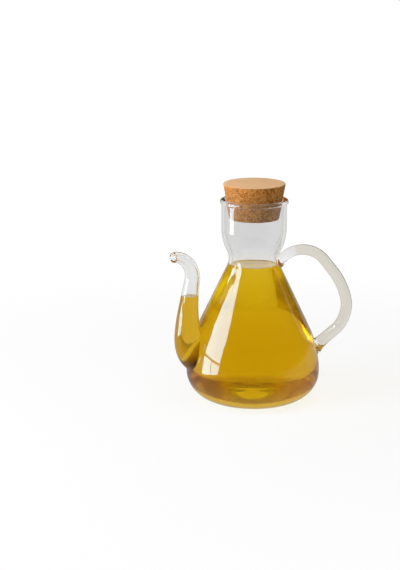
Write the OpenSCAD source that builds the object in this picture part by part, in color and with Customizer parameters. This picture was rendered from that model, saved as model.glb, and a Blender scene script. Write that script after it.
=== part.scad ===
// Oil and vinegar cruet: a hand-worked glass flask with a swan-necked spout and a rod handle.
// A tapered cork closes the neck, and the flask is filled with oil up to its waist.
// The origin is the centre of the flat foot, and the handle points along +X.

/* [Flask] */
// Largest outside diameter of the flask
body_d = 107; // [98:0.5:116]
// Radius of the rounded heel between the foot and the largest diameter
heel_r = 22; // [16:0.5:25]
// Height of the straight band above the heel
band_h = 1; // [0.6:0.1:3]
// Height at which the cone's side, carried down, meets the largest diameter
cone_z = 40; // [36:0.5:44]
// Outside diameter at which the cone and the neck's flare meet, before rounding
waist_d = 38.6; // [35:0.2:42]
// Height of the waist, before rounding
waist_z = 113.7; // [110:0.1:118]
// Rounding of the waist
waist_r = 8; // [5:0.5:11]
// Outside diameter of the neck
neck_d = 51.8; // [49:0.2:54]
// Height at which the flare meets the neck, before rounding
neck_z = 130; // [126:0.5:134]
// Rounding between the flare and the neck
shoulder_r = 9; // [5:0.5:14]
// Height of the rim's top
rim_z = 161.5; // [156:0.5:168]

/* [Glass] */
// Thickness of the flask's wall
wall = 2.4; // [1.8:0.1:3]
// Thickness of the base
base_t = 4.2; // [3:0.1:6]
// Rounding inside the heel
inner_heel_r = 16; // [12:0.5:18]
// How far the rim's bead stands out from the neck
rim_out = 1.5; // [0.8:0.1:2.5]
// How far the rim's bead stands into the mouth
rim_in = 1.2; // [0.4:0.1:2]
// Height of the rim's bead
rim_h = 3.2; // [2.6:0.1:4]

/* [Spout] */
// Direction of the spout, in degrees round from the handle
spout_turn = 200; // [180:1:210]
// Height of the middle of the spout's root in the flask's wall
root_z = 42; // [38:0.5:46]
// Diameter of the bulb at the spout's root
bulb_d = 27; // [24:0.5:29]
// How far the spout's curve is drawn outside the flask's largest radius
swing = 3; // [1:0.25:5]
// How far the top of the upright tube lies inside the flask's largest radius
lean = 2.7; // [0:0.1:5]
// Height of the top of the upright tube, where the tip begins to bend over
tube_z = 98; // [92:0.5:104]
// Outside diameter there
tube_d = 12.3; // [11:0.1:13.5]
// Outside diameter of the tip
tip_d = 8.3; // [7.4:0.1:9]
// How far the tip turns aside from the spout's own direction, in degrees
tip_turn = 29; // [0:1:45]
// How far the tip reaches out from the top of the upright tube
tip_reach = 20.5; // [16:0.5:25]
// How far the tip rises above the top of the upright tube
tip_rise = 23; // [19:0.5:27]
// Thickness of the spout's wall
spout_wall = 1.8; // [1.4:0.1:2.2]

/* [Handle] */
// Diameter of the handle's rod at its upper end
rod_top_d = 7.8; // [7:0.1:9]
// Diameter of the handle's rod at its foot
rod_foot_d = 9.4; // [8.4:0.1:10]
// How far below the waist the handle's upper end is fused on
upper_drop = 2.3; // [0:0.1:4]
// Height at which the handle's lower end is fused on
lower_z = 43; // [40:0.5:46]
// How far the handle's shoulder stands out from its upper end, before rounding
shoulder_out = 21.7; // [18:0.5:25]
// How far the handle's shoulder rises above its upper end, before rounding
shoulder_rise = 19.2; // [15:0.5:23]
// Rounding of the handle's shoulder
shoulder_bend = 22; // [16:0.5:24]
// How far the top of the grip stands outside the flask's largest radius
grip_top_out = 17.4; // [14:0.2:21]
// Height of the top of the grip, before rounding
grip_top_z = 94.3; // [90:0.5:97]
// Bend between the grip and the shoulder
grip_bend = 49; // [35:1:52]
// How far the foot of the grip stands outside the flask's largest radius
grip_foot_out = 23.2; // [19:0.2:26]
// Height of the foot of the grip, before rounding
grip_foot_z = 66.9; // [63:0.5:69]
// Rounding of the handle's elbow
elbow_bend = 26; // [18:0.5:28]
// How far the rod swells where it is fused to the flask
weld_flare = 0.9; // [0.4:0.1:1.5]
// Length of that swelling
weld_len = 3.5; // [2:0.5:5]

/* [Cork] */
// Height of the cork
cork_h = 27.8; // [25:0.2:31]
// How much narrower the cork's lower end is than its top
cork_taper = 10.2; // [7:0.2:13]
// How far the cork's lower end is pressed in below the rim's top
cork_in = 15.1; // [11:0.1:18]
// Rounding of the cork's edges
cork_edge = 0.8; // [0.4:0.1:1.5]
// Gap between the cork's side and the rim
cork_gap = 0.2; // [0.1:0.05:0.4]

/* [Oil] */
// Height of the oil in the flask
oil_z = 108.8; // [100:0.2:110]
// Height of the oil in the spout
spout_oil_z = 87; // [80:0.5:92]
// Gap between the oil and the glass
oil_gap = 0.1; // [0.05:0.05:0.2]

/* [Hidden] */
$fn = 96;

body_r = body_d / 2;
bead_r = rim_h / 2;
bead_z = rim_z - bead_r;
rim_d = neck_d + 2 * rim_out;
rim_bore = neck_d - 2 * wall - 2 * rim_in;
belly_z = heel_r + band_h;
cone_lean = atan((body_r - waist_d / 2) / (waist_z - cone_z));
belly_r = (cone_z - belly_z) / tan(cone_lean / 2);

// The flask's outline from the centre of the foot to the rim: each corner, its rounding, and the
// thickness of the glass along the line that leads to it
outline = [
    [0, 0],
    [body_r, 0],
    [body_r, cone_z],
    [waist_d / 2, waist_z],
    [neck_d / 2, neck_z],
    [neck_d / 2, bead_z]
];
roundings = [0, heel_r, belly_r, waist_r, shoulder_r, 0];
glass = [base_t, wall, wall, wall, wall];

// How far the inside is drawn on above the neck, so that the mouth is open
mouth_over = 1;

// Plane geometry
function unit(v) = v / norm(v);
function left_of(v) = [-v.y, v.x];
function turn(c, i) = cross(unit(c[i] - c[i - 1]), unit(c[i + 1] - c[i]));
function half_angle(c, i) = acos(unit(c[i - 1] - c[i]) * unit(c[i + 1] - c[i])) / 2;
function before(c, r, i) = c[i] + unit(c[i - 1] - c[i]) * r / tan(half_angle(c, i));
function after(c, r, i) = c[i] + unit(c[i + 1] - c[i]) * r / tan(half_angle(c, i));
function bisector(c, i) = unit(unit(c[i - 1] - c[i]) + unit(c[i + 1] - c[i]));
function centre(c, r, i) = c[i] + bisector(c, i) * r / sin(half_angle(c, i));

// Point where the line through p along u meets the line through q along v
function meet(p, u, q, v) = p + u * cross(q - p, v) / cross(u, v);

// The same outline moved inwards, each line by its own amount t
function moved(c, t, i) = c[i] + left_of(unit(c[i + 1] - c[i])) * t[i];
function inset(c, t) = [
    [0, t[0]],
    for (i = [1 : len(c) - 2]) meet(moved(c, t, i - 1), c[i] - c[i - 1], moved(c, t, i), c[i + 1] - c[i]),
    c[len(c) - 1] + [-t[len(t) - 1], mouth_over]
];

// The piece of a rounded corner that lies outside its chord
module corner_cap(c, r, i) {
    out = -bisector(c, i) * r;
    intersection() {
        translate(centre(c, r, i)) circle(r);
        polygon([before(c, r, i), before(c, r, i) + out, after(c, r, i) + out, after(c, r, i)]);
    }
}

// A rounding wider than its own distance from the axis is stepped into short cones instead
steps = 5;
function stepped(c, r, i) = centre(c, r, i).x < r;
function arc_point(c, r, i, t) =
    let (m = centre(c, r, i), a = before(c, r, i) - m, b = after(c, r, i) - m, w = acos(unit(a) * unit(b)))
    m + (a * sin((1 - t) * w) + b * sin(t * w)) / sin(w);
function corner_points(c, r, i) =
    let (count = stepped(c, r, i) ? steps : 1) [for (k = [0 : count]) arc_point(c, r, i, k / count)];

// The area between the axis and an outline whose corners c are rounded by r
module rounded_half(c, r) {
    last = len(c) - 1;
    points = [for (i = [1 : last - 1]) each r[i] > 0 ? corner_points(c, r[i], i) : [c[i]]];
    round = [for (i = [1 : last - 1]) if (r[i] > 0 && !stepped(c, r[i], i)) i];
    difference() {
        union() {
            polygon([c[0], each points, c[last], [0, c[last].y]]);
            for (i = round) if (turn(c, i) > 0) corner_cap(c, r[i], i);
        }
        for (i = round) if (turn(c, i) < 0) corner_cap(c, r[i], i);
    }
}

// The rim's fire-polished bead, in section
module bead_half() {
    inner = rim_bore / 2 + bead_r;
    outer = rim_d / 2 - bead_r;
    translate([inner, bead_z]) circle(bead_r);
    translate([outer, bead_z]) circle(bead_r);
    translate([inner, bead_z - bead_r]) square([outer - inner, rim_h]);
}

// The flask's inside as an outline, held off the glass by gap
function inside(gap) = inset(outline, [for (t = glass) t + gap]);
function inside_roundings(gap) = [
    0,
    inner_heel_r - gap,
    belly_r - wall - gap,
    waist_r + wall + gap,
    shoulder_r - wall - gap,
    0
];

module inside_half(gap) {
    rounded_half(inside(gap), inside_roundings(gap));
}

// The glass in section, from the foot to the rim
module wall_half() {
    difference() {
        rounded_half(outline, roundings);
        inside_half(0);
    }
    bead_half();
}

// The flask's inside as a solid, held off the glass by gap, or grown into it by a gap below zero
module filling(gap) {
    rotate_extrude() inside_half(gap);
}

// A drawn-out tube or rod runs along a line of stations of [x, y, z, outside radius]. Its rings of
// points are square to the line, inward of the outside radius, and start from the direction side
sides = 24;
function station(point, radius) = [point.x, point.y, point.z, radius];
function point_of(s) = [s.x, s.y, s.z];
function heading(line, i) =
    unit(point_of(line[min(i + 1, len(line) - 1)]) - point_of(line[max(i - 1, 0)]));
function ring(line, i, inward, side) =
    let (d = heading(line, i), u = unit(side - d * (side * d)), v = cross(d, u), r = line[i][3] - inward)
    [for (k = [0 : sides - 1]) point_of(line[i]) + r * (u * cos(360 * k / sides) + v * sin(360 * k / sides))];
function rings(line, inward, side) = [for (i = [0 : len(line) - 1]) each ring(line, i, inward, side)];

// Triangles between neighbouring rings of points, the first of which has the number start
function skin(count, start) = [
    for (i = [0 : count - 2]) for (k = [0 : sides - 1])
    let (a = start + i * sides + k, b = start + i * sides + (k + 1) % sides)
    each [[a, a + sides, b], [b, a + sides, b + sides]]
];
function flipped(faces) = [for (f = faces) [f[0], f[2], f[1]]];

// A solid rod along the line
module drawn_rod(line, inward, side) {
    count = len(line);
    first = [for (k = [0 : sides - 1]) k];
    last = [for (k = [sides - 1 : -1 : 0]) (count - 1) * sides + k];
    polyhedron(rings(line, inward, side), concat(skin(count, 0), [first, last]));
}

// A tube along the line, open at both ends
module drawn_tube(line, thickness, side) {
    count = len(line);
    bore = count * sides;
    last = (count - 1) * sides;
    lips = [
        for (k = [0 : sides - 1]) let (n = (k + 1) % sides)
        each [
            [k, n, bore + k],
            [n, bore + n, bore + k],
            [last + k, bore + last + k, last + n],
            [last + n, bore + last + k, bore + last + n]
        ]
    ];
    faces = concat(skin(count, 0), flipped(skin(count, bore)), lips);
    polyhedron(concat(rings(line, 0, side), rings(line, thickness, side)), faces);
}

// The spout's line, on two Bezier curves
function polar(r, turn, z) = [r * cos(turn), r * sin(turn), z];
function bezier(p, t) =
    pow(1 - t, 3) * p[0] + 3 * t * pow(1 - t, 2) * p[1] + 3 * t * t * (1 - t) * p[2] + pow(t, 3) * p[3];

// How far inside the wall the line starts, and how far it has risen where it turns upwards
root_sink = 9;
root_lift = 3;
// Share of the tube's height at which it stands upright, and of the bulb's width that is left there
low_share = 0.43;
slim_share = 0.125;
// Shares of the tip's rise and reach that shape its curve, and of its taper at those two places
rise_share = 0.6;
reach_share = 0.5;
taper_first = 0.3;
taper_second = 0.8;

tip_dir = spout_turn + tip_turn;
tube_top = polar(body_r - lean, spout_turn, tube_z);
tube_low = polar(body_r + swing, spout_turn, root_z + low_share * (tube_z - root_z));
tip = tube_top + polar(tip_reach, tip_dir, tip_rise);
rising = unit(tube_top - tube_low);
slim_r = tube_d / 2 + slim_share * (bulb_d - tube_d);
function tip_r(t) = (tube_d + (tip_d - tube_d) * t) / 2;
upright = [
    station(polar(body_r - wall - root_sink, spout_turn, root_z), bulb_d / 2),
    station(polar(body_r + swing, spout_turn, root_z + root_lift), bulb_d / 2),
    station(tube_low, slim_r),
    station(tube_top, tube_d / 2)
];
over = [
    station(tube_top, tip_r(0)),
    station(tube_top + rising * rise_share * tip_rise, tip_r(taper_first)),
    station(tip - polar(reach_share * tip_reach, tip_dir, 0), tip_r(taper_second)),
    station(tip, tip_r(1))
];
upright_rings = 18;
over_rings = 12;
spout_side = polar(1, spout_turn + tip_turn / 2 + 90, 0);
spout_line = [
    for (i = [0 : upright_rings - 1]) bezier(upright, i / upright_rings),
    for (i = [0 : over_rings]) bezier(over, i / over_rings)
];

// The hole in the flask's wall that the spout opens from, less a gap all round
port_rim = 2.5;
port_r = bulb_d / 2 - port_rim * spout_wall;
port_taper = 0.4;
module port(gap) {
    rotate([0, 0, spout_turn])
        translate([body_r - bulb_d / 2, 0, root_z + root_lift])
        rotate([0, 90, 0])
        cylinder(h = bulb_d / 2, r1 = port_r - gap, r2 = port_r - port_taper - gap);
}

// The handle's centre line, in the plane through the axis
waist_arc = centre(outline, waist_r, 3);
upper_end = [waist_arc.x - waist_r, waist_arc.y - upper_drop];
lower_end = [body_r - belly_r + sqrt(pow(belly_r, 2) - pow(lower_z - belly_z, 2)), lower_z];
handle_line = [
    upper_end,
    upper_end + [shoulder_out, shoulder_rise],
    [body_r + grip_top_out, grip_top_z],
    [body_r + grip_foot_out, grip_foot_z],
    lower_end
];
handle_bends = [0, shoulder_bend, grip_bend, elbow_bend, 0];

// The rod runs into the wall at both ends, is swollen where it is fused on, and widens downwards
weld_sink = 1.6;
bend_rings = 8;
bend_share = 0.6;
function rod_r(t) = (rod_top_d + (rod_foot_d - rod_top_d) * t) / 2;
function fused(end, next, r) =
    let (d = unit(next - end))
    [
        upright_station(end - d * weld_sink * wall, r + weld_flare),
        upright_station(end + d * weld_len / 4, r + weld_flare),
        upright_station(end + d * weld_len, r)
    ];
function upright_station(p, r) = [p.x, 0, p.y, r];
function bent(c, r, i) = [
    for (k = [0 : bend_rings])
    let (t = k / bend_rings, along = (i + bend_share * (t - 0.5)) / (len(c) - 1))
    upright_station(arc_point(c, r, i, t), rod_r(along))
];
function reversed(v) = [for (i = [len(v) - 1 : -1 : 0]) v[i]];
handle_stations = concat(
    fused(handle_line[0], handle_line[1], rod_r(0)),
    [for (i = [1 : 3]) each bent(handle_line, handle_bends[i], i)],
    reversed(fused(handle_line[4], handle_line[3], rod_r(1)))
);

module glass_cruet() {
    color("gainsboro", 0.4)
    union() {
        difference() {
            rotate_extrude() wall_half();
            port(0);
        }
        difference() {
            drawn_tube(spout_line, spout_wall, spout_side);
            filling(-wall / 2);
        }
        difference() {
            drawn_rod(handle_stations, 0, [0, 1, 0]);
            filling(-wall / 2);
        }
    }
}

// The cork is as thick as the mouth lets it be where its taper passes the rim's bead
cork_z = rim_z - cork_in;
cork_slope = cork_taper / 2 / cork_h;
cork_r = rim_bore / 2 + bead_r - (bead_r + cork_gap) * sqrt(1 + pow(cork_slope, 2));
cork_end_r = cork_r - cork_slope * (bead_z - cork_z);
cork_top_r = cork_end_r + cork_taper / 2;
cork_steps = 4;

module cork_stopper() {
    c = [[0, 0], [cork_end_r, 0], [cork_top_r, cork_h], [0, cork_h]];
    edges = [for (i = [1, 2]) for (k = [0 : cork_steps]) arc_point(c, cork_edge, i, k / cork_steps)];
    color("burlywood") translate([0, 0, cork_z])
    rotate_extrude() polygon([c[0], each edges, c[3]]);
}

module olive_oil() {
    width = 2 * body_d;
    color("goldenrod", 0.8) union() {
        intersection() {
            filling(oil_gap);
            translate([0, 0, -1]) cylinder(h = oil_z + 1, r = body_d);
        }
        port(oil_gap);
        difference() {
            intersection() {
                drawn_rod(spout_line, spout_wall + oil_gap, spout_side);
                translate([-width / 2, -width / 2, -1]) cube([width, width, spout_oil_z + 1]);
            }
            filling(-wall - oil_gap);
        }
    }
}

glass_cruet();
cork_stopper();
olive_oil();
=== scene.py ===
"""The oil and vinegar cruet: blown glass, olive oil and a tapered cork on a pale table."""

import math
from contextlib import contextmanager

import bpy
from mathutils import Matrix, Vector
from mathutils.geometry import intersect_line_line


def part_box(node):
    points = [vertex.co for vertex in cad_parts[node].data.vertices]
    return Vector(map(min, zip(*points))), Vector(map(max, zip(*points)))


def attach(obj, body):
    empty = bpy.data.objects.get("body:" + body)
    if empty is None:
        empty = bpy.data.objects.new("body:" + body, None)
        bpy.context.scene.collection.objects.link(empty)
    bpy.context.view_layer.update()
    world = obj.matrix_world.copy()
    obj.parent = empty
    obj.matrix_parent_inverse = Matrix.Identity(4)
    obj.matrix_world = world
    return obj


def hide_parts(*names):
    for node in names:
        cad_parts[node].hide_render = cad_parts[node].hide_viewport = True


bl_info = {
    "name": "Oil and vinegar cruet",
    "version": (1, 0, 0),
    "blender": (4, 5, 0),
    "location": "3D View > Sidebar > Cruet",
    "description": "Models and dresses a glass cruet with its cork and its oil",
    "category": "Object",
}

MM = 0.001
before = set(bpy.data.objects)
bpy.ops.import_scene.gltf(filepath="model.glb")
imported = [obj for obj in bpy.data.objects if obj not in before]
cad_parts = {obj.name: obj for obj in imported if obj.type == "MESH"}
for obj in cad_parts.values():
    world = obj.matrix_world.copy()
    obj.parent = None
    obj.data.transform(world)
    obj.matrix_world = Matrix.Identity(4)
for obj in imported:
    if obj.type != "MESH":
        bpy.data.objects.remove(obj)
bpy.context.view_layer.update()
GLASS_LOW, GLASS_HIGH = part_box("glass_cruet")
CORK_LOW, CORK_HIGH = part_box("cork_stopper")
_, OIL_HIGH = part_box("olive_oil")
BODY_D = GLASS_HIGH.y - GLASS_LOW.y

GLASS_IOR = 1.46
# Real oil has 1.47. With less, the back of the cone lets light through where it would mirror.
OIL_IOR = 1.36
OIL_DENSITY = 60
# What lamps lose on their way through
GLASS_SHADE = (0.95, 0.95, 0.95)
OIL_SHADE = (0.97, 0.9, 0.5)
WHITE = (1, 1, 1, 1)

# Points nearer to each other than this are one
MERGED = 0.002 * MM
# Points this near to a corner belong to it
TOUCH = 0.01 * MM
# A spun cork's steps round its axis, and the roundness of a drawn tube
CORK_STEPS = 128
TUBE_RESOLUTION = 22
# Light runs round in the thick heel by total reflection, and leaves black spots if it ends there
BOUNCES = 120


def length(name, description, default):
    """A size in metres that is given in millimetres."""
    return bpy.props.FloatProperty(
        name=name, description=description, default=default * MM, unit="LENGTH", precision=4
    )


def angle(name, description, default):
    """An angle that is given in degrees."""
    return bpy.props.FloatProperty(
        name=name, description=description, default=math.radians(default), subtype="ANGLE"
    )


def colour(name, description, default):
    """A colour in linear light."""
    return bpy.props.FloatVectorProperty(
        name=name, description=description, default=default, subtype="COLOR", min=0, max=1
    )


class FlaskSizes(bpy.types.PropertyGroup):
    """The flask, from its foot to its rim."""

    body_d: length("Body", "Largest outside diameter", BODY_D / MM)
    heel_r: length("Heel", "Rounding between the foot and the side", 22)
    cone_z: length("Cone foot", "Height where the cone's side meets the largest diameter", 40)
    belly_r: length("Belly", "Rounding between the side and the cone", 77)
    waist_d: length("Waist", "Diameter where cone and flare meet, before rounding", 36.8)
    waist_z: length("Waist height", "Height of the waist, before rounding", 113.7)
    waist_r: length("Waist rounding", "Rounding of the waist", 13)
    neck_d: length("Neck", "Outside diameter of the neck", 51.4)
    neck_z: length("Neck height", "Height where the flare meets the neck", 130)
    shoulder_r: length("Shoulder", "Rounding between flare and neck", 34)
    rim_z: length("Rim height", "Height of the rim's top", GLASS_HIGH.z / MM)
    rim_h: length("Rim", "Height of the rim's bead", 3.2)
    rim_out: length("Rim out", "How far the bead stands out from the neck", 1.15)
    rim_in: length("Rim in", "How far the bead stands into the mouth", 1.2)
    wall: length("Wall", "Thickness of the glass", 2.4)
    base_t: length("Base", "Thickness of the base", 4.2)
    inner_heel_r: length("Inner heel", "Rounding inside the heel", 16)
    steps: bpy.props.IntProperty(name="Steps", description="Steps round the axis", default=180)


class SpoutSizes(bpy.types.PropertyGroup):
    """The swan-necked spout."""

    turn: angle("Turn", "Direction of the spout round from the handle", 200)
    root_z: length("Root height", "Height of the spout's root", 36)
    root_in: length("Root depth", "How far inside the body the spout's line starts", 11.4)
    bulb_d: length("Bulb", "Diameter of the bulb at the root", 28)
    swing: length("Swing", "How far the curve is drawn outside the body", 3.2)
    lean: length("Lean", "How far the tube's top lies inside the body's radius", 2.7)
    tube_z: length("Tube height", "Height where the tip begins", 98)
    tube_d: length("Tube", "Outside diameter there", 12.3)
    tip_d: length("Tip", "Outside diameter of the tip", 8.3)
    tip_turn: angle("Tip turn", "How far the tip turns aside", 29)
    tip_reach: length("Tip reach", "How far the tip reaches out", 20.5)
    tip_rise: length("Tip rise", "How far the tip rises", 23)
    wall: length("Wall", "Thickness of the spout's glass", 1.8)
    lip: length("Lip", "Rounding of the tip's lip", 0.8)


class HandleSizes(bpy.types.PropertyGroup):
    """The rod handle, in the plane through the axis."""

    upper: bpy.props.FloatVectorProperty(
        name="Upper end", description="Out and up, where the rod leaves the waist", size=2,
        default=(20.0 * MM, 112.1 * MM), unit="LENGTH"
    )
    shoulder: bpy.props.FloatVectorProperty(
        name="Shoulder", description="Out and up, before rounding", size=2,
        default=(41.7 * MM, 131.3 * MM), unit="LENGTH"
    )
    grip_top: bpy.props.FloatVectorProperty(
        name="Top of the grip", description="Out and up, before rounding", size=2,
        default=(70.9 * MM, 94.3 * MM), unit="LENGTH"
    )
    grip_foot: bpy.props.FloatVectorProperty(
        name="Foot of the grip", description="Out and up, before rounding", size=2,
        default=(76.7 * MM, 66.9 * MM), unit="LENGTH"
    )
    lower: bpy.props.FloatVectorProperty(
        name="Lower end", description="Out and up, where the rod meets the belly", size=2,
        default=(50.8 * MM, 43.0 * MM), unit="LENGTH"
    )
    shoulder_bend: length("Shoulder bend", "Rounding of the shoulder", 22)
    grip_bend: length("Grip bend", "Bend between the shoulder and the grip", 49)
    elbow_bend: length("Elbow bend", "Rounding of the elbow", 26)
    top_d: length("Top", "Diameter of the rod at its upper end", 7.8)
    foot_d: length("Foot", "Diameter of the rod at its foot", 9.4)
    flare: length("Flare", "How far the rod spreads where it is fused on", 1.6)
    flare_len: length("Flare length", "How fast that dies away", 2.2)


class FillSizes(bpy.types.PropertyGroup):
    """The cork and the oil."""

    cork_taper: length("Cork taper", "How much narrower the cork's lower end is", 10.2)
    cork_edge: length("Cork edge", "Rounding of the cork's edges", 0.8)
    oil_z: length("Oil", "Height of the oil in the flask", OIL_HIGH.z / MM)
    spout_oil_z: length("Spout oil", "Height of the oil in the spout", 87)
    wetting: length("Wetting", "How far the oil's skin lies inside the glass", 0.06)
    creep: length("Creep", "How far the oil creeps up the wall", 0.9)


class Finishes(bpy.types.PropertyGroup):
    """Colours of glass, oil and cork."""

    glass: colour("Glass", "Tint of the glass seen square on", (0.9, 0.9, 0.9))
    # The neck's greyer tint is painted shade on the same glass
    neck_painted_shade: colour("Neck", "Tint of the glass of the neck", (0.82, 0.82, 0.82))
    glass_rod: colour("Rod", "Tint of the handle's thick rod", (0.71, 0.68, 0.61))
    rod_edge: colour("Rod edge", "Tint of the rod seen along its skin", (0.24, 0.21, 0.13))
    glass_edge: colour("Glass edge", "Tint of the glass seen along its skin", (0.5, 0.49, 0.42))
    oil: colour("Oil", "Tint of the oil in the flask", (0.56, 0.22, 0.015))
    oil_high: colour("High oil", "Tint of the oil near waist and foot", (0.7, 0.34, 0.015))
    oil_spout: colour("Spout oil", "Tint of the oil in the spout", (0.53, 0.2, 0.002))
    oil_depth: colour("Oil depth", "Colour that deep oil turns to", (0.98, 0.955, 0.25))
    cork: colour("Cork", "Colour of the cork's side", (0.33, 0.1, 0.009))
    cork_light: colour("Cork light", "Colour of its paler granules", (0.72, 0.32, 0.075))
    cork_top: colour("Cork top", "Colour of its sanded top", (0.78, 0.49, 0.27))
    cork_pit: colour("Cork pits", "Colour of its pits", (0.11, 0.04, 0.01))
    floor: colour("Floor", "Colour of the table", (0.92, 0.92, 0.92))


class StageSizes(bpy.types.PropertyGroup):
    """Camera, lamps and floor."""

    camera: bpy.props.FloatVectorProperty(
        name="Camera", description="Where the camera stands", default=(0.0304, -1.0445, 0.3638),
        unit="LENGTH"
    )
    pitch: angle("Pitch", "How far the camera looks down", 14.6)
    turn: angle("Turn", "How far the camera is turned from the Y axis", 4)
    lens: bpy.props.FloatProperty(name="Lens", description="Focal length in mm", default=85.58)
    window: bpy.props.FloatProperty(
        name="Window", description="Brightness of the window", default=15.5
    )
    room: bpy.props.FloatProperty(name="Room", description="Light from all round", default=0.17)


# Curves and outlines


def corner_turn(corners, i):
    """The angle by which an outline turns at a corner."""
    return (corners[i] - corners[i - 1]).angle(corners[i + 1] - corners[i])


def inset(corners, amounts):
    """An outline in the XZ plane moved to its left, each line by its own amount."""
    lines = []
    for a, b, amount in zip(corners, corners[1:], amounts):
        way = (b - a).normalized()
        aside = Vector((-way.z, 0, way.x)) * amount
        lines.append((a + aside, b + aside))
    inner = [intersect_line_line(*p, *q)[0] for p, q in zip(lines, lines[1:])]
    return [lines[0][0], *inner, lines[-1][1]]


def polar(r, turn, z, width=0):
    """A station of a drawn tube: a place and an outside radius."""
    return Vector((r * math.cos(turn), r * math.sin(turn), z, width))


def bezier(p, t):
    """A point on a cubic Bezier curve."""
    s = 1 - t
    return s**3 * p[0] + 3 * t * s**2 * p[1] + 3 * t**2 * s * p[2] + t**3 * p[3]


# Modelling by hand


@contextmanager
def editing(piece):
    """Edit mode on one piece."""
    bpy.ops.object.select_all(action="DESELECT")
    piece.select_set(True)
    bpy.context.view_layer.objects.active = piece
    bpy.ops.object.mode_set(mode="EDIT")
    bpy.ops.mesh.select_mode(type="VERT")
    yield
    bpy.ops.object.mode_set(mode="OBJECT")


def pick(piece, wanted):
    """Selects the vertices of a piece in edit mode whose place is wanted."""
    bpy.ops.mesh.select_all(action="DESELECT")
    bpy.ops.object.mode_set(mode="OBJECT")
    for vertex in piece.data.vertices:
        vertex.select = wanted(vertex.co)
    bpy.ops.object.mode_set(mode="EDIT")


def draw(name, points):
    """A line of edges from point to point."""
    bpy.ops.object.select_all(action="DESELECT")
    bpy.ops.mesh.primitive_plane_add(size=MM, location=points[0])
    piece = bpy.context.object
    piece.name = name
    bpy.ops.object.transform_apply(location=True, rotation=False, scale=False)
    with editing(piece):
        bpy.ops.mesh.merge(type="CENTER")
        for here, there in zip(points, points[1:]):
            bpy.ops.mesh.extrude_region_move(TRANSFORM_OT_translate={"value": there - here})
    return piece


def draw_rounded(name, corners, radii, segments=12):
    """A line of edges whose corners are rounded."""
    piece = draw(name, corners)
    with editing(piece):
        for i, radius in enumerate(radii):
            if radius > 0:
                turn = corner_turn(corners, i)
                pick(piece, lambda co: (co - corners[i]).length < TOUCH)
                bpy.ops.mesh.bevel(
                    offset_type="OFFSET", offset=radius * math.tan(turn / 2), segments=segments,
                    profile=0.5, affect="VERTICES"
                )
    return piece


def turn_on_lathe(piece, steps):
    """Spins a drawn outline round the Z axis into a closed shell."""
    with editing(piece):
        bpy.ops.mesh.select_all(action="SELECT")
        bpy.ops.mesh.spin(steps=steps, angle=math.tau, center=(0, 0, 0), axis=(0, 0, 1))
        bpy.ops.mesh.select_all(action="SELECT")
        bpy.ops.mesh.remove_doubles(threshold=MERGED)
        bpy.ops.mesh.normals_make_consistent(inside=False)
    return piece


def draw_tube(name, stations):
    """A closed round rod along stations, with the radius that each one gives."""
    path = draw(name, [s.to_3d() for s in stations])
    bpy.ops.object.convert(target="CURVE")
    path = bpy.context.object
    path.data.bevel_depth = 1
    path.data.bevel_resolution = TUBE_RESOLUTION
    path.data.use_fill_caps = True
    for point in path.data.splines[0].points:
        nearest = min(stations, key=lambda s: (s.to_3d() - point.co.to_3d()).length)
        point.radius = nearest.w
    bpy.ops.object.convert(target="MESH")
    tube = bpy.context.object
    with editing(tube):
        bpy.ops.mesh.select_all(action="SELECT")
        bpy.ops.mesh.remove_doubles(threshold=MERGED)
        bpy.ops.mesh.normals_make_consistent(inside=False)
    return tube


def cut_above(piece, height):
    """Cuts a piece off level and closes it."""
    with editing(piece):
        bpy.ops.mesh.select_all(action="SELECT")
        bpy.ops.mesh.bisect(
            plane_co=(0, 0, height), plane_no=(0, 0, 1), use_fill=True, clear_outer=True
        )


def coat(piece, materials, wanted):
    """Gives a piece two finishes, the second on the faces whose middle and normal are wanted."""
    for material in materials:
        piece.data.materials.append(material)
    with editing(piece):
        bpy.ops.mesh.select_mode(type="FACE")
        bpy.ops.mesh.select_all(action="DESELECT")
        bpy.ops.object.mode_set(mode="OBJECT")
        for face in piece.data.polygons:
            face.select = wanted(face.center, face.normal)
        bpy.ops.object.mode_set(mode="EDIT")
        piece.active_material_index = 1
        bpy.ops.object.material_slot_assign()


def combine(piece, tool, operation):
    """Joins, cuts or keeps what is common with another piece, which is used up."""
    bpy.ops.object.select_all(action="DESELECT")
    bpy.context.view_layer.objects.active = piece
    piece.select_set(True)
    bpy.ops.object.modifier_add(type="BOOLEAN")
    modifier = piece.modifiers[-1]
    modifier.operation = operation
    modifier.solver = "EXACT"
    modifier.object = tool
    bpy.ops.object.modifier_apply(modifier=modifier.name)
    bpy.data.objects.remove(tool)


def smooth(piece, crease):
    """Smooth shading up to an angle between faces."""
    bpy.ops.object.select_all(action="DESELECT")
    bpy.context.view_layer.objects.active = piece
    piece.select_set(True)
    bpy.ops.object.shade_smooth_by_angle(angle=crease)


def dress(piece, body, node):
    """Puts a finished piece in its CAD node's place."""
    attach(piece, body)
    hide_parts(node)


# Materials


class Wire:
    """A node's output that can be reckoned with."""

    def __init__(self, shader, socket):
        self.shader = shader
        self.socket = socket

    def reckon(self, operation, *values):
        return self.shader.node("ShaderNodeMath", {"operation": operation}, dict(enumerate(values)))

    def __add__(self, other):
        return self.reckon("ADD", self, other)

    __radd__ = __add__

    def __sub__(self, other):
        return self.reckon("SUBTRACT", self, other)

    def __rsub__(self, other):
        return self.reckon("SUBTRACT", other, self)

    def __mul__(self, other):
        return self.reckon("MULTIPLY", self, other)

    __rmul__ = __mul__

    def above(self, low, high):
        """0 below low, 1 above high, smooth between."""
        settings = {"interpolation_type": "SMOOTHSTEP"}
        return self.shader.node("ShaderNodeMapRange", settings, {0: self, 1: low, 2: high})


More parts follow.
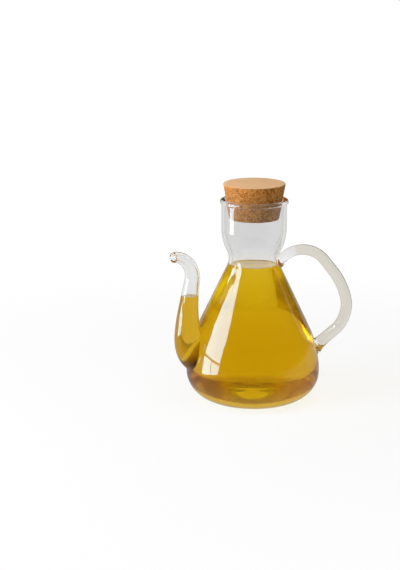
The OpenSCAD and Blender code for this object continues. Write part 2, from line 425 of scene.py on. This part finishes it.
class Shader:
    """A material or a world under construction."""

    def __init__(self, owner):
        owner.use_nodes = True
        self.owner = owner
        self.tree = owner.node_tree
        self.tree.nodes.clear()

    def node(self, kind, settings=None, sockets=None, output=0):
        """Adds a node, sets it up and returns one of its outputs."""
        node = self.tree.nodes.new(kind)
        for key, value in (settings or {}).items():
            setattr(node, key, value)
        for key, value in (sockets or {}).items():
            if isinstance(value, Wire):
                self.tree.links.new(value.socket, node.inputs[key])
            else:
                node.inputs[key].default_value = value
        return None if output is None else Wire(self, node.outputs[output])

    def mix(self, factor, a, b):
        """One colour blended into another."""
        return self.node("ShaderNodeMix", {"data_type": "RGBA"}, {0: factor, 6: a, 7: b}, 2)

    def place(self):
        """The place on the object, in metres."""
        return self.node("ShaderNodeTexCoord", output="Object")

    def part(self, vector, axis):
        """One part of a vector."""
        return self.node("ShaderNodeSeparateXYZ", {}, {0: vector}, axis)

    def distance(self, centre):
        """How far the place on the object is from a centre."""
        ends = {0: self.place(), 1: centre}
        return self.node("ShaderNodeVectorMath", {"operation": "DISTANCE"}, ends, "Value")

    def rays(self, *kinds):
        """Which kind of ray is asking."""
        return [self.node("ShaderNodeLightPath", output=kind) for kind in kinds]

    def skinned(self, face, edge):
        """A tint that turns darker where a surface is seen along its skin."""
        facing = self.node("ShaderNodeLayerWeight", {}, {"Blend": 0.5}, "Facing")
        return self.mix(facing.above(0.45, 0.98), face, edge)

    def xyz(self):
        """The three parts of the place on the object."""
        return [self.part(self.place(), axis) for axis in "XYZ"]

    def noise(self, scale, detail, output=0):
        """Soft noise over the object."""
        sockets = {"Vector": self.place(), "Scale": scale, "Detail": detail}
        return self.node("ShaderNodeTexNoise", {}, sockets, output)

    def bump(self, height, strength, distance):
        """A relief that bends the normal."""
        sockets = {"Height": height, "Strength": strength, "Distance": distance}
        return self.node("ShaderNodeBump", {}, sockets)

    def finish(self, surface, volume=None):
        """Ends the tree in the output of a material or of a world."""
        sockets = {"Surface": surface}
        if volume:
            sockets["Volume"] = volume
        kind = "World" if isinstance(self.owner, bpy.types.World) else "Material"
        self.node("ShaderNodeOutput" + kind, {}, sockets, None)
        return self.owner


def opaque(rgb):
    """A colour with its alpha."""
    return (*rgb, 1)


def grey(level):
    """A grey with its alpha."""
    return (level, level, level, 1)


def clear_stuff(s, tint, ior, gloss, relief=None):
    """The shader of glass or oil. With a gloss of 0 its skin has no mirror of its own."""
    sockets = {
        "Base Color": tint,
        "Roughness": 0.0,
        "IOR": ior,
        "Specular Tint": grey(gloss),
        "Transmission Weight": 1.0,
    }
    if relief:
        sockets["Normal"] = relief
    return s.node("ShaderNodeBsdfPrincipled", {}, sockets)


def let_lamps_through(s, body, shade):
    """A shader that casts no black shadow, only one of its own shade."""
    lit = s.node("ShaderNodeBsdfTransparent", {}, {"Color": opaque(shade)})
    return s.node("ShaderNodeMixShader", {}, {0: s.rays("Is Shadow Ray")[0], 1: body, 2: lit})


def glass_finish(tint):
    """Blown glass: faintly rippled, with a tint that is worked out from its shader."""
    s = Shader(bpy.data.materials.new("blown glass"))
    ripple = s.bump(s.noise(38, 1.0), 0.06, 0.3 * MM)
    body = clear_stuff(s, tint(s), GLASS_IOR, 1.0, ripple)
    return s.finish(let_lamps_through(s, body, GLASS_SHADE))


def wetted_finish():
    """Glass that oil lies against, where neither shines."""
    s = Shader(bpy.data.materials.new("wetted glass"))
    return s.finish(let_lamps_through(s, clear_stuff(s, WHITE, GLASS_IOR, 0.0), GLASS_SHADE))


def oil_finish(tint, mirror, depth):
    """Olive oil: a tinted skin, a share of it that mirrors, and hardly any colour in its depth."""
    s = Shader(bpy.data.materials.new("olive oil"))
    body = clear_stuff(s, tint(s), OIL_IOR, 0.0)
    pale_room = {"Color": (0.75, 0.72, 0.6, 1), "Roughness": 0.02}
    bright = s.node("ShaderNodeBsdfGlossy", {}, pale_room)
    body = s.node("ShaderNodeMixShader", {}, {0: mirror(s), 1: body, 2: bright})
    sockets = {"Color": opaque(depth), "Density": OIL_DENSITY}
    deep = s.node("ShaderNodeVolumeAbsorption", {}, sockets)
    return s.finish(let_lamps_through(s, body, OIL_SHADE), deep)


def cork_finish(tones):
    """Pressed cork: fine granules of several browns, dark specks and a paler sanded top."""
    s = Shader(bpy.data.materials.new("pressed cork"))
    cork, light = opaque(tones.cork), opaque(tones.cork_light)
    sanded, pit = opaque(tones.cork_top), opaque(tones.cork_pit)
    ends = {0: 0.002, 4: s.place(), 5: s.noise(420, 2, "Color")}
    warped = s.node("ShaderNodeMix", {"data_type": "VECTOR"}, ends, 1)
    granule = s.node("ShaderNodeTexVoronoi", {}, {"Vector": warped, "Scale": 1050.0}, "Color")
    tone = s.node("ShaderNodeSeparateColor", {}, {0: granule})
    patches = s.noise(230, 3)
    side = s.mix((0.7 * tone + 0.5 * patches).above(0.15, 1.0), cork, light)
    top = s.part(s.place(), "Z").above(CORK_HIGH.z - 0.7 * MM, CORK_HIGH.z - 0.1 * MM)
    clean = s.mix(top, side, s.mix(0.25 * tone, sanded, side))
    speck = s.node("ShaderNodeTexVoronoi", {}, {"Vector": warped, "Scale": 1500.0})
    fine = s.noise(1200, 2)
    dark = (1 - speck.above(0.1, 0.42)) * (fine + patches).above(0.95, 1.15)
    sockets = {
        "Base Color": s.mix(dark * (0.9 - 0.6 * top), clean, pit),
        "Roughness": 0.8,
        "Specular IOR Level": 0.2,
        "Normal": s.bump(0.4 * tone + 0.3 * fine - dark, 0.45, 0.2 * MM),
    }
    return s.finish(s.node("ShaderNodeBsdfPrincipled", {}, sockets))


# Forms that glass and oil share


def outline(size):
    """The flask's outside from the centre of the foot to the bead, and its roundings."""
    r = size.body_d / 2
    corners = [
        Vector((0, 0, 0)),
        Vector((r, 0, 0)),
        Vector((r, 0, size.cone_z)),
        Vector((size.waist_d / 2, 0, size.waist_z)),
        Vector((size.neck_d / 2, 0, size.neck_z)),
        Vector((size.neck_d / 2, 0, size.rim_z - size.rim_h)),
    ]
    return corners, [0, size.heel_r, size.belly_r, size.waist_r, size.shoulder_r, 0]


def inner_roundings(size, gap=0.0):
    """The roundings of the flask's inside, held off the glass by gap."""
    back = size.wall + gap
    heel_r, belly_r = size.inner_heel_r - gap, size.belly_r - back
    return [0, heel_r, belly_r, size.waist_r + back, size.shoulder_r - back, 0]


def cavity(name, scene, gap):
    """The flask's inside as a closed solid, held off the glass or, with a gap below 0, in it."""
    size = scene.cruet_flask
    outer, _ = outline(size)
    inner = inset(outer, [size.base_t + gap] + [size.wall + gap] * (len(outer) - 2))
    lid = Vector((0, 0, inner[-1].z))
    half = draw_rounded(name, inner + [lid], inner_roundings(size, gap) + [0])
    return turn_on_lathe(half, size.steps)


def spout_tube(name, scene, inward):
    """The spout's skin as a closed tube, or its bore, which opens through the tip."""
    upright_steps, over_steps, lip_steps = 36, 28, 6
    size = scene.cruet_spout
    body_r = scene.cruet_flask.body_d / 2
    # The bulb leaves the root a little upwards, and has slimmed to near the tube's width at low_z
    root_rise = 3 * MM
    low_z = size.root_z + 0.43 * (size.tube_z - size.root_z)
    slim = size.tube_d / 2 + (size.bulb_d - size.tube_d) / 8
    upright = [
        polar(body_r - size.root_in, size.turn, size.root_z, size.bulb_d / 2),
        polar(body_r + size.swing, size.turn, size.root_z + root_rise, size.bulb_d / 2),
        polar(body_r + size.swing, size.turn, low_z, slim),
        polar(body_r - size.lean, size.turn, size.tube_z, size.tube_d / 2),
    ]
    top, way = upright[3], size.turn + size.tip_turn
    tip = top + polar(size.tip_reach, way, size.tip_rise, (size.tip_d - size.tube_d) / 2)
    rising = (upright[3] - upright[2]).to_3d().normalized()
    slimming = (size.tube_d - size.tip_d) / 2
    # The tip goes on straight up at first, and ends level
    over = [
        top,
        top + Vector((*(rising * 0.6 * size.tip_rise), -0.3 * slimming)),
        tip - polar(0.5 * size.tip_reach, way, 0, -0.2 * slimming),
        tip,
    ]
    stations = [bezier(upright, i / upright_steps) for i in range(upright_steps)]
    stations += [bezier(over, i / over_steps) for i in range(over_steps + 1)]
    for station in stations:
        station.w -= inward
    out = (stations[-1] - stations[-2]).to_3d().normalized()
    if inward > 0:
        stations += [stations[-1] + Vector((*(out * MM), 0.25 * size.lip))]
    else:
        start = stations.pop()
        for i in range(lip_steps + 1):
            a = math.radians(90 / lip_steps * i)
            back = size.lip * (1 - math.sin(a))
            stations.append(start - Vector((*(out * back), size.lip * (1 - math.cos(a)))))
    return draw_tube(name, stations)


def chain(route, start):
    """The places along a drawn line, in order from its start; the line is used up."""
    left = [v.co.copy() for v in route.data.vertices]
    places = [min(left, key=lambda co: (co - start).length)]
    left.remove(places[0])
    while left:
        places.append(min(left, key=lambda co: (co - places[-1]).length))
        left.remove(places[-1])
    bpy.data.objects.remove(route)
    return places


def subdivide(places, step):
    """The same line with points no further apart than a step."""
    fine = [places[0]]
    for a, b in zip(places, places[1:]):
        count = max(1, math.ceil((b - a).length / step))
        fine += [a.lerp(b, i / count) for i in range(1, count + 1)]
    return fine


# The pieces


class CRUET_OT_glass(bpy.types.Operator):
    """Blows the flask, draws its spout and its handle, and fuses them into one glass"""

    bl_idname = "cruet.glass"
    bl_label = "Glass"

    def execute(self, context):
        scene = context.scene
        fill, tones = scene.cruet_fill, scene.cruet_finish
        finishes = (glass_finish(lambda s: self.tint(s, tones)), wetted_finish())
        flask = self.flask(scene.cruet_flask)

        def wetted(middle, normal):
            """The inside of the wall and of the base, up to the oil's level."""
            inward = normal.x * middle.x + normal.y * middle.y < -0.05 * middle.length
            upward = normal.z > 0.9 and middle.z < 10 * MM
            return (inward or upward) and middle.z < fill.oil_z

        coat(flask, finishes, wetted)
        # Handle and spout end half-way through the flask's wall
        half_wall = scene.cruet_flask.wall / 2
        for limb in (self.handle(scene), spout_tube("spout", scene, 0)):
            combine(limb, cavity("core", scene, -half_wall), "DIFFERENCE")
            combine(flask, limb, "UNION")
        bore = spout_tube("bore", scene, scene.cruet_spout.wall)
        coat(bore, finishes, lambda middle, normal: middle.z < fill.spout_oil_z)
        combine(flask, bore, "DIFFERENCE")
        smooth(flask, math.radians(32))
        dress(flask, "cruet", "glass_cruet")
        return {"FINISHED"}

    def tint(self, s, tones):
        """The glass is clear, greyer along its skin and in the handle's thick rod, and drawn greyer
        in the neck as painted shade.
        """
        x, y, z = s.xyz()
        # The cone's side leans in by 0.464 for each unit up, and the rod lies beyond it
        rod = (x + 0.464 * z).above(73.1 * MM, 74.6 * MM) * x.above(27.5 * MM, 36 * MM)
        # Painted shade: the glass of the neck, near the axis above the waist, is drawn greyer than
        # the rest
        around = (x * x + y * y).above((29 * MM) ** 2, (33 * MM) ** 2)
        neck = z.above(112 * MM, 120 * MM) * (1 - around)
        face = s.mix(neck, opaque(tones.glass), opaque(tones.neck_painted_shade))
        face = s.mix(rod, face, opaque(tones.glass_rod))
        return s.skinned(face, s.mix(rod, opaque(tones.glass_edge), opaque(tones.rod_edge)))

    def flask(self, size):
        """The flask's wall in section, turned on the lathe."""
        outer, outer_radii = outline(size)
        inner = inset(outer, [size.base_t] + [size.wall] * (len(outer) - 2))
        bead_z = size.rim_z - size.rim_h
        out, into = outer[-1].x, inner[-1].x
        bead = [
            Vector((out, 0, bead_z)),
            Vector((out + size.rim_out, 0, bead_z)),
            Vector((out + size.rim_out, 0, size.rim_z)),
            Vector((into - size.rim_in, 0, size.rim_z)),
            Vector((into - size.rim_in, 0, bead_z)),
            Vector((into, 0, bead_z)),
        ]
        # The bead is nearly half round on top, and drawn in softly to the neck below
        full, below, under = 0.48 * size.rim_h, 0.66, 0.3
        bead_radii = [
            under * size.rim_out, below * size.rim_out, full,
            full, below * size.rim_in, under * size.rim_in,
        ]
        corners = outer[:-1] + bead + inner[-2::-1]
        radii = outer_radii[:-1] + bead_radii + inner_roundings(size)[-2::-1]
        return turn_on_lathe(draw_rounded("glass", corners, radii), size.steps)

    def handle(self, scene):
        """The rod, bent in its plane and spread where it is fused on."""
        station_gap, bend_segments = 1.2 * MM, 24
        size = scene.cruet_handle
        ends = (size.upper, size.shoulder, size.grip_top, size.grip_foot, size.lower)
        corners = [Vector((p[0], 0, p[1])) for p in ends]
        bends = [0, size.shoulder_bend, size.grip_bend, size.elbow_bend, 0]
        sunk = 1.5 * scene.cruet_flask.wall
        corners[0] -= (corners[1] - corners[0]).normalized() * sunk
        corners[-1] -= (corners[-2] - corners[-1]).normalized() * sunk
        route = draw_rounded("handle route", corners, bends, bend_segments)
        fine = subdivide(chain(route, corners[0]), station_gap)
        total = len(fine) - 1
        stations = []
        for i, point in enumerate(fine):
            t = i / total
            near = min((point - fine[0]).length, (point - fine[-1]).length) - sunk
            swell = size.flare * math.exp(-max(near, 0) / size.flare_len)
            radius = ((1 - t) * size.top_d + t * size.foot_d) / 2 + swell
            stations.append(Vector((*point, radius)))
        return draw_tube("handle", stations)


class CRUET_OT_oil(bpy.types.Operator):
    """Fills the flask and the spout with oil"""

    bl_idname = "cruet.oil"
    bl_label = "Oil"

    def execute(self, context):
        scene = context.scene
        size, tones = scene.cruet_fill, scene.cruet_finish
        oil = cavity("oil", scene, -size.wetting)
        top = size.oil_z + size.creep
        cut_above(oil, top)
        self.meniscus(oil, top, size.creep)
        column = spout_tube("oil in the spout", scene, scene.cruet_spout.wall - size.wetting)
        cut_above(column, size.spout_oil_z)
        combine(oil, column, "UNION")
        smooth(oil, math.radians(50))
        finish = oil_finish(lambda s: self.tint(s, tones), self.mirror, tones.oil_depth)
        oil.data.materials.append(finish)
        dress(oil, "cruet", "olive_oil")
        return {"FINISHED"}

    def tint(self, s, tones):
        """The oil is tinted at its skin: paler near waist and foot, and apart in the spout.

        A ray that comes back to the skin by total reflection isn't tinted again. On its way in
        and out it has gone through fewer surfaces than that.
        """
        x, y, z = s.xyz()
        out = (x * x + y * y).above((43 * MM) ** 2, (47 * MM) ** 2)
        spout = out * z.above(42 * MM, 60 * MM)
        ends = z.above(60 * MM, 108 * MM) + (1 - z.above(10 * MM, 30 * MM))
        body = s.mix(ends, opaque(tones.oil), opaque(tones.oil_high))
        again = s.rays("Transmission Depth")[0].above(3.2, 3.8)
        return s.mix(again, s.mix(spout, body, opaque(tones.oil_spout)), WHITE)

    def mirror(self, s):
        """The level top, which mirrors the pale room at the low angle that it is seen from."""
        level = s.part(s.node("ShaderNodeTexCoord", output="Normal"), "Z")
        return 0.4 * level.above(0.85, 0.95)

    def meniscus(self, oil, top, creep):
        """Draws the oil's surface down from where it creeps up the wall, in ever flatter rings."""
        width = 0.9 * MM
        with editing(oil):
            pick(oil, lambda co: co.z > top - TOUCH)
            for share in (0.5, 0.28, 0.15, 0.07):
                bpy.ops.mesh.inset(thickness=(1.2 - share) * width, depth=-share * creep)


class CRUET_OT_cork(bpy.types.Operator):
    """Turns the tapered cork"""

    bl_idname = "cruet.cork"
    bl_label = "Cork"

    def execute(self, context):
        size = context.scene.cruet_fill
        top_r = CORK_HIGH.x
        end_r = top_r - size.cork_taper / 2
        corners = [
            Vector((0, 0, CORK_LOW.z)),
            Vector((end_r, 0, CORK_LOW.z)),
            Vector((top_r, 0, CORK_HIGH.z)),
            Vector((0, 0, CORK_HIGH.z)),
        ]
        cork = draw_rounded("cork", corners, [0, size.cork_edge, size.cork_edge, 0], 6)
        turn_on_lathe(cork, CORK_STEPS)
        smooth(cork, math.radians(40))
        cork.data.materials.append(cork_finish(context.scene.cruet_finish))
        dress(cork, "stopper", "cork_stopper")
        return {"FINISHED"}


class CRUET_OT_stage(bpy.types.Operator):
    """Lays the floor and sets the room, the window, the lamps and the camera"""

    bl_idname = "cruet.stage"
    bl_label = "Stage"

    def execute(self, context):
        size = context.scene.cruet_stage
        self.floor(context.scene.cruet_finish)
        self.room(context.scene, size)
        self.window(size)
        self.lamp("overhead softbox", (0.1, -0.2, 1.25), 0.7, 0.7, 4.0)
        self.lamp("side softbox", (-0.85, -0.35, 0.5), 0.6, 0.8, 6.8)
        bpy.ops.object.camera_add(
            location=size.camera, rotation=(math.pi / 2 - size.pitch, 0, size.turn)
        )
        camera = context.object
        camera.data.lens = size.lens
        context.scene.camera = camera
        context.scene.view_settings.view_transform = "Standard"
        paths = context.scene.cycles
        paths.max_bounces = paths.transmission_bounces = paths.glossy_bounces = BOUNCES
        paths.transparent_max_bounces = BOUNCES
        return {"FINISHED"}

    def floor(self, tones):
        """A wide pale floor that keeps a soft shadow, with patches of painted shade, painted light
        and a painted glint that only glass gathers.
        """
        # Each patch of painted light and shade has a middle and a radius in mm, and a light
        patches = (
            # Painted shade, seen through the oil at the right of the cone
            ((-36, 24), 20, grey(0.4)),
            # Painted light, seen through the oil at the left of the cone
            ((34, 21), 18, (1.5, 1.8, 1.5, 1)),
            # A painted glint, seen through the oil at the right of the cone
            ((-18, 69), 9, (5, 5, 5, 1)),
        )
        # The foot sinks into the floor by this much, so that no thin film of air lies between them
        sink = 0.02 * MM
        bpy.ops.object.select_all(action="DESELECT")
        bpy.ops.mesh.primitive_plane_add(size=12, location=(0, 0, sink))
        floor = bpy.context.object
        floor.name = "floor"
        s = Shader(bpy.data.materials.new("pale floor"))
        matt = s.node("ShaderNodeBsdfDiffuse", {}, {"Color": opaque(tones.floor)})
        camera, transmitted = s.rays("Is Camera Ray", "Is Transmission Ray")
        gathered = transmitted * s.rays("Transmission Depth")[0].above(0.2, 0.8)
        tone = WHITE
        for (x, y), radius, light in patches:
            off = s.distance((x * MM, y * MM, 0)).above(0.5 * radius * MM, radius * MM)
            tone = s.mix(gathered * (1 - off), tone, light)
        # The floor glows white, and rays through the glass also gather the painted light and shade
        # of the patches
        glow = s.node("ShaderNodeEmission", {}, {"Color": tone, "Strength": 1.0})
        away = s.distance((0, 0, 0)).above(0.1, 0.45)
        share = (camera + transmitted).above(0, 1) * (0.8 + 0.2 * away)
        surface = s.node("ShaderNodeMixShader", {}, {0: share, 1: matt, 2: glow})
        floor.data.materials.append(s.finish(surface))
        floor.visible_glossy = False

    def window(self, size):
        """A tall window at the left, which the glass mirrors and which reaches below the table."""
        near, far = Vector((-0.901, -0.631, 0)), Vector((-1.092, 0.134, 0))
        along = (near - far).normalized()
        # Each pane's corners, by their way along the window and their height, in metres
        panes = (
            ((0.09, -0.15), (0.43, -0.11), (0.43, 0.09), (0.11, 0.09)),
            ((0.45, -0.1), (0.73, -0.05), (0.76, 0.09), (0.45, 0.09)),
            ((0.11, 0.12), (0.77, 0.12), (0.84, 0.9), (-0.3, 0.9), (-0.1, 0.42), (0.11, 0.38)),
        )
        s = Shader(bpy.data.materials.new("window light"))
        sky = {"Color": (0.55, 0.8, 1, 1), "Strength": size.window}
        s.finish(s.node("ShaderNodeEmission", {}, sky))
        for corners in panes:
            places = [far + u * along + Vector((0, 0, z)) for u, z in corners]
            pane = draw("window pane", places + places[:1])
            with editing(pane):
                bpy.ops.mesh.select_all(action="SELECT")
                bpy.ops.mesh.remove_doubles(threshold=TOUCH)
                bpy.ops.mesh.select_all(action="SELECT")
                bpy.ops.mesh.edge_face_add()
            pane.data.materials.append(s.owner)
            pane.visible_camera = pane.visible_diffuse = pane.visible_transmission = False

    def room(self, scene, size):
        """White behind the object, and a darker room where glass gathers or mirrors it."""
        scene.world = bpy.data.worlds.new("room")
        s = Shader(scene.world)
        sight = s.node("ShaderNodeTexCoord", output="Generated")
        up, back = s.part(sight, "Z"), s.part(sight, "Y")
        camera, glossy = s.rays("Is Camera Ray", "Is Glossy Ray")
        transmitted, matt_hits = s.rays("Is Transmission Ray", "Diffuse Depth")
        clear = transmitted * (1 - matt_hits.above(0, 1))
        # The glass gathers a darker ceiling
        through = s.mix(up.above(0.6, 0.9), WHITE, grey(0.25))
        # It mirrors a table that is dark in front, dark walls and a white ceiling
        table = s.mix((-1 * back).above(0.3, 0.7), grey(0.5), grey(0.1))
        walls = s.mix(up.above(-0.04, 0.02), table, grey(0.03))
        mirrored = s.mix(up.above(0.7, 0.8), walls, WHITE)
        unseen = s.mix(glossy, grey(size.room), mirrored)
        seen = s.mix(camera, s.mix(clear, unseen, through), WHITE)
        s.finish(s.node("ShaderNodeBackground", {}, {"Color": seen, "Strength": 1.0}))

    def lamp(self, name, place, width, height, radiance):
        """A soft rectangular lamp that faces the cruet and isn't mirrored in it."""
        middle = Vector((0, 0, 0.08))
        turned = (middle - Vector(place)).to_track_quat("-Z", "Y").to_euler()
        bpy.ops.object.light_add(type="AREA", location=place, rotation=turned)
        lamp = bpy.context.object
        lamp.name = name
        lamp.data.shape = "RECTANGLE"
        lamp.data.size = width
        lamp.data.size_y = height
        lamp.data.energy = radiance * math.pi * width * height
        lamp.visible_glossy = lamp.visible_transmission = False


class CRUET_PT_panel(bpy.types.Panel):
    """Lists the steps that make the cruet"""

    bl_label = "Cruet"
    bl_idname = "CRUET_PT_panel"
    bl_space_type = "VIEW_3D"
    bl_region_type = "UI"
    bl_category = "Cruet"

    def draw(self, context):
        for operator in OPERATORS:
            self.layout.operator(operator.bl_idname)
        for group in GROUPS:
            settings = getattr(context.scene, group)
            box = self.layout.box()
            for name in settings.bl_rna.properties.keys():
                if name not in ("rna_type", "name"):
                    box.prop(settings, name)


GROUPS = {
    "cruet_flask": FlaskSizes,
    "cruet_spout": SpoutSizes,
    "cruet_handle": HandleSizes,
    "cruet_fill": FillSizes,
    "cruet_finish": Finishes,
    "cruet_stage": StageSizes,
}
OPERATORS = (CRUET_OT_stage, CRUET_OT_glass, CRUET_OT_oil, CRUET_OT_cork)


def register():
    """Adds the settings, the steps and the panel."""
    for name, group in GROUPS.items():
        bpy.utils.register_class(group)
        setattr(bpy.types.Scene, name, bpy.props.PointerProperty(type=group))
    for operator in OPERATORS:
        bpy.utils.register_class(operator)
    bpy.utils.register_class(CRUET_PT_panel)


def unregister():
    """Takes them out again."""
    bpy.utils.unregister_class(CRUET_PT_panel)
    for operator in reversed(OPERATORS):
        bpy.utils.unregister_class(operator)
    for name, group in GROUPS.items():
        delattr(bpy.types.Scene, name)
        bpy.utils.unregister_class(group)


def main():
    """Registers the steps and makes the cruet."""
    register()
    bpy.ops.cruet.stage()
    bpy.ops.cruet.glass()
    bpy.ops.cruet.oil()
    bpy.ops.cruet.cork()


if __name__ == "__main__":
    main()
